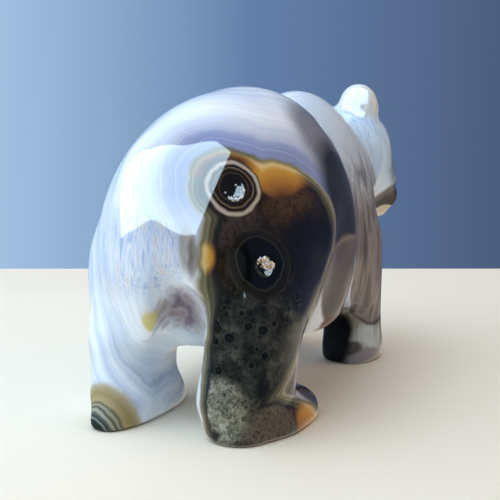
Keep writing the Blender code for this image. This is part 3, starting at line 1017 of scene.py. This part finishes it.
@dataclass(frozen=True)
class CrystalPocket:
    """A small natural hollow in the polished face, lined with six-sided crystals, sized in millimetres."""

    name: str
    centre: Triple
    outward: Triple
    radius: float
    depth: float
    finish: DruzyQuartz
    crystals: int
    spread: float
    inner: float
    crystal_mm: float
    lit_side: Triple
    seed: int
    outer: float = 0.95
    sunk: float = 0.1
    lean: float = 0.35
    stray: float = 0.3
    sizes: Span = (0.6, 1.3)
    foot: float = -0.5
    neck: float = 0.7
    tip: float = 1.25
    sides: int = 6

    def hollow(self, points: np.ndarray) -> np.ndarray:
        """Measures how far points lie outside the hollow.

        Args:
            points: Places in the frame, in millimetres.

        Returns:
            A distance for each point, negative inside the hollow.
        """
        out = np.array(self.outward) / np.linalg.norm(self.outward)
        away = points - np.array(self.centre)
        along = away @ out
        across = np.linalg.norm(away - along[:, None] * out, axis=1)
        return np.hypot(across, along * self.radius / self.depth) - self.radius

    def add_crystal(self, shell: bmesh.types.BMesh, place: Vector, point: Vector, size: float) -> None:
        """Adds one six-sided crystal with a pointed end.

        Args:
            shell: The mesh that gets it.
            place: The middle of its foot, in millimetres.
            point: The direction of its tip.
            size: Its width in millimetres.
        """
        turn = point.to_track_quat("Z", "Y").to_matrix().to_4x4()
        rings = []
        for height in (self.foot, self.neck):
            ring = []
            for corner in range(self.sides):
                angle = math.tau * corner / self.sides
                local = Vector((math.cos(angle) / 2, math.sin(angle) / 2, height)) * size
                ring.append(shell.verts.new((place + turn @ local) * MM))
            rings.append(ring)
        tip = shell.verts.new((place + turn @ Vector((0, 0, self.tip * size))) * MM)
        for corner in range(self.sides):
            after = (corner + 1) % self.sides
            shell.faces.new((rings[0][corner], rings[0][after], rings[1][after], rings[1][corner]))
            shell.faces.new((rings[1][corner], rings[1][after], tip))
        shell.faces.new(rings[0][::-1])

    def build(self) -> bpy.types.Object:
        """Builds the crystals of the hollow, more of them towards its lit side.

        Returns:
            The crystals as one object.
        """
        chance = np.random.default_rng(self.seed)
        out = Vector(self.outward).normalized()
        lit = Vector(self.lit_side)
        lit = (lit - out * lit.dot(out)).normalized()
        across = out.cross(lit)
        shell = bmesh.new()
        for _ in range(self.crystals):
            angle = chance.normal(0, self.spread)
            reach = self.radius * math.sqrt(chance.uniform(self.inner, self.outer))
            flat = (lit * math.cos(angle) + across * math.sin(angle)) * reach
            sink = self.depth * math.sqrt(max(0.0, 1 - (reach / self.radius) ** 2))
            place = Vector(self.centre) + flat - out * (sink + self.sunk)
            point = out - flat * (self.lean / self.radius) + Vector(chance.normal(0, self.stray, 3))
            size = self.crystal_mm * chance.uniform(*self.sizes)
            self.add_crystal(shell, place, point.normalized(), size)
        mesh = bpy.data.meshes.new(self.name)
        shell.to_mesh(mesh)
        shell.free()
        mesh.materials.append(self.finish.material())
        crystals = added(self.name, mesh)
        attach(crystals, "root")
        log.info("%s: %d triangles", self.name, sum(len(f.vertices) - 2 for f in mesh.polygons))
        return crystals


@dataclass
class BearCarving:
    """The carved bear, its surface drawn fine onto the blended form."""

    middle_right: float = 0.135
    middle_ahead: float = 51.376
    cell: float = 0.0006
    quick_cell: float = 0.0009
    pocket_cuts: int = 2
    pocket_margin: float = 0.8
    pocket_rim: float = 0.35
    rounds: int = 6
    longest_step: float = 0.6
    least_steep: float = 0.05
    sole: float = 0.05
    probe: float = 0.04
    pockets: tuple[CrystalPocket, ...] = ()
    form: Carved = field(default_factory=lambda: Carved(BEAR))
    finish: PolishedAgate = field(default_factory=PolishedAgate)

    def distance(self, points: np.ndarray) -> np.ndarray:
        """Measures how far points in the frame lie outside the finished stone, its hollows open.

        Args:
            points: Places in the frame, in millimetres.

        Returns:
            A distance for each point, in millimetres.
        """
        right, ahead = self.middle_right - points[:, 0], self.middle_ahead - points[:, 1]
        stone = self.form.distance(np.stack([right, ahead, points[:, 2]], axis=-1))
        for pocket in self.pockets:
            stone = ground_away(stone, pocket.hollow(points), self.pocket_rim)
        return stone

    def outward(self, points: np.ndarray) -> np.ndarray:
        """Finds the slope of the distance, which points out of the stone.

        Args:
            points: Places in the frame, in millimetres.

        Returns:
            The slope at each point.
        """
        slope = np.empty_like(points)
        for axis, shift in enumerate(np.eye(3) * self.probe):
            slope[:, axis] = self.distance(points + shift) - self.distance(points - shift)
        return slope / (2 * self.probe)

    def even_skin(self, node: bpy.types.Object) -> bpy.types.Object:
        """Copies the CAD solid with a skin of small even cells, smaller still at the hollows.

        Args:
            node: The CAD solid.

        Returns:
            The new object.
        """
        bear = added("carved_bear", node.data.copy())
        skin = bear.modifiers.new("skin", "REMESH")
        skin.mode = "VOXEL"
        skin.voxel_size = self.cell
        evaluated = bear.evaluated_get(bpy.context.evaluated_depsgraph_get())
        mesh = bpy.data.meshes.new_from_object(evaluated)
        bear.modifiers.clear()
        bear.data = mesh
        shell = bmesh.new()
        shell.from_mesh(mesh)
        for _ in range(self.pocket_cuts):
            near = set()
            for pocket in self.pockets:
                centre = Vector(pocket.centre) * MM
                reach = (pocket.radius + self.pocket_margin) * MM
                near |= {edge for edge in shell.edges if (edge.verts[0].co - centre).length < reach}
            bmesh.ops.subdivide_edges(shell, edges=list(near), cuts=1, use_grid_fill=True)
        bmesh.ops.triangulate(shell, faces=shell.faces[:])
        shell.to_mesh(mesh)
        shell.free()
        return bear

    def draw_onto_form(self, mesh: bpy.types.Mesh, low: Vector, high: Vector) -> None:
        """Moves the skin's points onto the form, inside the CAD box, and sets its normals.

        Args:
            mesh: The skin.
            low: The CAD box's lowest corner.
            high: The CAD box's highest corner.
        """
        points = np.empty(len(mesh.vertices) * 3)
        mesh.vertices.foreach_get("co", points)
        points = points.reshape(-1, 3) / MM
        for _ in range(self.rounds):
            slope = self.outward(points)
            steep = np.maximum((slope * slope).sum(axis=1), self.least_steep)
            step = -slope * (self.distance(points) / steep)[:, None]
            size = np.linalg.norm(step, axis=1, keepdims=True)
            points += step * np.minimum(1.0, self.longest_step / np.maximum(size, TINY))
        points[points[:, 2] < self.sole, 2] = 0.0
        points = np.clip(points, np.array(low) / MM, np.array(high) / MM)
        mesh.vertices.foreach_set("co", (points * MM).ravel())
        mesh.update()
        slope = self.outward(points)
        slope[points[:, 2] <= 0.0] = (0.0, 0.0, -1.0)
        normals = slope / np.maximum(np.linalg.norm(slope, axis=1, keepdims=True), TINY)
        mesh.shade_smooth()
        mesh.normals_split_custom_set_from_vertices(normals.tolist())

    def build(self, node: bpy.types.Object) -> bpy.types.Object:
        """Builds the bear in place of its CAD solid.

        Args:
            node: The CAD solid.

        Returns:
            The finished bear.
        """
        low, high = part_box("agate_bear")
        bear = self.even_skin(node)
        self.draw_onto_form(bear.data, low, high)
        bear.data.materials.clear()
        bear.data.materials.append(self.finish.material())
        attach(bear, "root")
        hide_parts("agate_bear")
        log.info("carved_bear: %d triangles", len(bear.data.polygons))
        return bear


# The studio


class Seen(Enum):
    """Where a lamp's light shows."""

    IN_POLISH = "as a reflection in the polish alone"
    IN_BODY = "as light on the stone and table alone"


@dataclass(frozen=True)
class Lamp:
    """A soft rectangular light, as a window or a diffusing screen gives, by its direction and size."""

    name: str
    azimuth: float
    elevation: float
    distance: float
    width: float
    height: float
    power: float
    colour: str
    seen: Seen
    turn: float = 0.0
    shift: tuple[float, float] = (0.0, 0.0)

    def build(self, target: Vector) -> bpy.types.Object:
        """Sets the light up facing a target.

        Args:
            target: The place that it faces.

        Returns:
            The light.
        """
        light = bpy.data.lights.new(self.name, "AREA")
        light.shape = "RECTANGLE"
        light.size, light.size_y = self.width, self.height
        light.energy = self.power
        light.color = linear(self.colour)[:3]
        lamp = added(self.name, light)
        around, above = math.radians(self.azimuth), math.radians(self.elevation)
        level = math.cos(above)
        away = Vector((math.sin(around) * level, math.cos(around) * level, math.sin(above)))
        lamp.rotation_mode = "QUATERNION"
        roll = Quaternion((0.0, 0.0, 1.0), math.radians(self.turn))
        lamp.rotation_quaternion = away.to_track_quat("Z", "Y") @ roll
        lamp.location = target + away * self.distance
        lamp.location += lamp.rotation_quaternion @ Vector((*self.shift, 0.0))
        lamp.visible_diffuse = lamp.visible_transmission = self.seen is not Seen.IN_POLISH
        lamp.visible_glossy = self.seen is not Seen.IN_BODY
        return lamp


LAMPS = (
    Lamp("window", 3.9, 56.2, 0.5, 1.68, 0.794, 46.7, "#CDEBFF", Seen.IN_POLISH, 14.5, (-0.4, -0.064)),
    Lamp("window_light", 55.0, 50.0, 0.8, 1.4, 1.2, 11.7, "#D6E8FF", Seen.IN_BODY),
    Lamp("ceiling", 20.0, 82.0, 1.1, 1.2, 1.2, 8.3, "#E6F3FF", Seen.IN_BODY),
    Lamp("room_fill", -110.0, 30.0, 1.2, 1.4, 1.0, 5.5, "#FFD6B4", Seen.IN_BODY),
    Lamp("front_fill", 160.0, 35.0, 1.2, 1.4, 1.0, 3.0, "#EAF1FF", Seen.IN_BODY),
)


@dataclass
class Studio:
    """The camera, table and light around the bear, in metres."""

    camera_place: Vector = field(default_factory=lambda: Vector((-0.1055, 0.2170, 0.0700)))
    heading: tuple[float, float] = (0.454, -0.891)
    pitch: float = math.atan((PHOTO_PIXELS / 2 - HORIZON_ROW) / FOCAL_PIXELS)
    lens: float = 72.0
    sensor: float = 36.0
    nearest: float = 0.01
    table_reach: float = 0.382
    table_width: float = 2.4
    table_length: float = 1.6
    target: Vector = field(default_factory=lambda: Vector((0.0, 0.01, 0.04)))
    wall_colours: Stops = ((0.0, "#4A5A79"), (0.5, "#6480AA"), (1.0, "#A5C5E4"))
    wall_span: Span = (-0.26, 0.26)
    behind_colour: str = "#46566E"
    behind_span: Span = (-0.3, 0.5)
    low_colour: str = "#CFC6BA"
    low_span: Span = (-0.22, -0.3)

    def build_camera(self) -> bpy.types.Object:
        """Sets the camera where the photograph was taken from.

        Returns:
            The camera.
        """
        data = bpy.data.cameras.new("camera")
        data.lens = self.lens
        data.sensor_width = self.sensor
        data.clip_start = self.nearest
        camera = added("camera", data)
        across = math.cos(self.pitch)
        look = Vector((self.heading[0] * across, self.heading[1] * across, -math.sin(self.pitch)))
        camera.location = self.camera_place
        camera.rotation_mode = "QUATERNION"
        camera.rotation_quaternion = look.to_track_quat("-Z", "Y")
        bpy.context.scene.camera = camera
        return camera

    def build_table(self) -> bpy.types.Object:
        """Lays the plain table, its far edge beyond the bear.

        Returns:
            The table, which is no part of the bear.
        """
        heading = Vector((*self.heading, 0.0)).normalized()
        side = Vector((heading.y, -heading.x, 0.0))
        far = Vector((self.camera_place.x, self.camera_place.y, 0.0)) + heading * self.table_reach
        near = far - heading * self.table_length
        half = side * (self.table_width / 2)
        mesh = bpy.data.meshes.new("table")
        mesh.from_pydata([far - half, far + half, near + half, near - half], [], [(0, 1, 2, 3)])
        mesh.materials.append(PaintedBoard().material())
        table = added("table", mesh)
        table.visible_glossy = False
        return table

    def build_air(self) -> None:
        """Fills the room with blue air, brighter towards the window's side, dull behind and pale below."""
        world = bpy.data.worlds.new("air")
        bpy.context.scene.world = world
        world.use_nodes = True
        tree = world.node_tree
        tree.nodes.clear()
        way = add_node(tree, "TexCoord", output="Generated")
        shares = []
        for side, (start, end) in (
            ((-self.heading[1], self.heading[0], 0.0), self.wall_span),
            ((0.0, 0.0, 1.0), self.low_span),
            ((*self.heading, 0.0), self.behind_span),
        ):
            reach = add_node(tree, "VectorMath", {0: way, 1: side}, output="Value", operation="DOT_PRODUCT")
            shares.append(add_node(tree, "MapRange", {"Value": reach, "From Min": start, "From Max": end}))
        across, low, ahead = shares
        air = add_node(tree, "ValToRGB", {"Fac": across}, stops=self.wall_colours)
        mixed = {"Factor": low, 6: air, 7: linear(self.low_colour)}
        air = add_node(tree, "Mix", mixed, output=2, data_type="RGBA")
        mixed = {"Factor": ahead, 6: linear(self.behind_colour), 7: air}
        air = add_node(tree, "Mix", mixed, output=2, data_type="RGBA")
        glow = add_node(tree, "Background", {"Color": air, "Strength": 1.0})
        add_node(tree, "OutputWorld", {"Surface": glow})
        world.cycles_visibility.diffuse = False

    def build(self) -> None:
        """Builds the camera, table, air and lamps."""
        self.build_camera()
        self.build_table()
        self.build_air()
        for lamp in LAMPS:
            lamp.build(self.target)
        bpy.context.scene.view_settings.view_transform = "Standard"
        log.info("studio: camera, table and %d lamps", len(LAMPS))


POCKETS = (
    CrystalPocket(
        name="eye_crystals",
        centre=(-14.6, 45.2, 50.3),
        outward=(-0.71, 0.55, 0.43),
        radius=2.4,
        depth=1.3,
        finish=DruzyQuartz("pale_druzy_quartz", "#C9D6DA"),
        crystals=90,
        spread=0.75,
        inner=0.25,
        crystal_mm=0.34,
        lit_side=(-0.5, -0.4, -0.6),
        seed=7,
    ),
    CrystalPocket(
        name="haunch_crystals",
        centre=(-21.4, 45.5, 35.4),
        outward=(-0.76, 0.56, 0.33),
        radius=2,
        depth=1.3,
        finish=DruzyQuartz("golden_druzy_quartz", "#D9A765"),
        crystals=110,
        spread=0.7,
        inner=0.02,
        crystal_mm=0.5,
        lit_side=(-0.62, -0.32, 0.7),
        seed=11,
    ),
)


def main() -> None:
    """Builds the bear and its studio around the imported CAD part."""
    logging.basicConfig(level=logging.INFO, format="%(message)s")
    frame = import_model()
    BearCarving(pockets=POCKETS).build(frame["nodes"]["agate_bear"])
    for pocket in POCKETS:
        pocket.build()
    Studio().build()


if __name__ == "__main__":
    main()
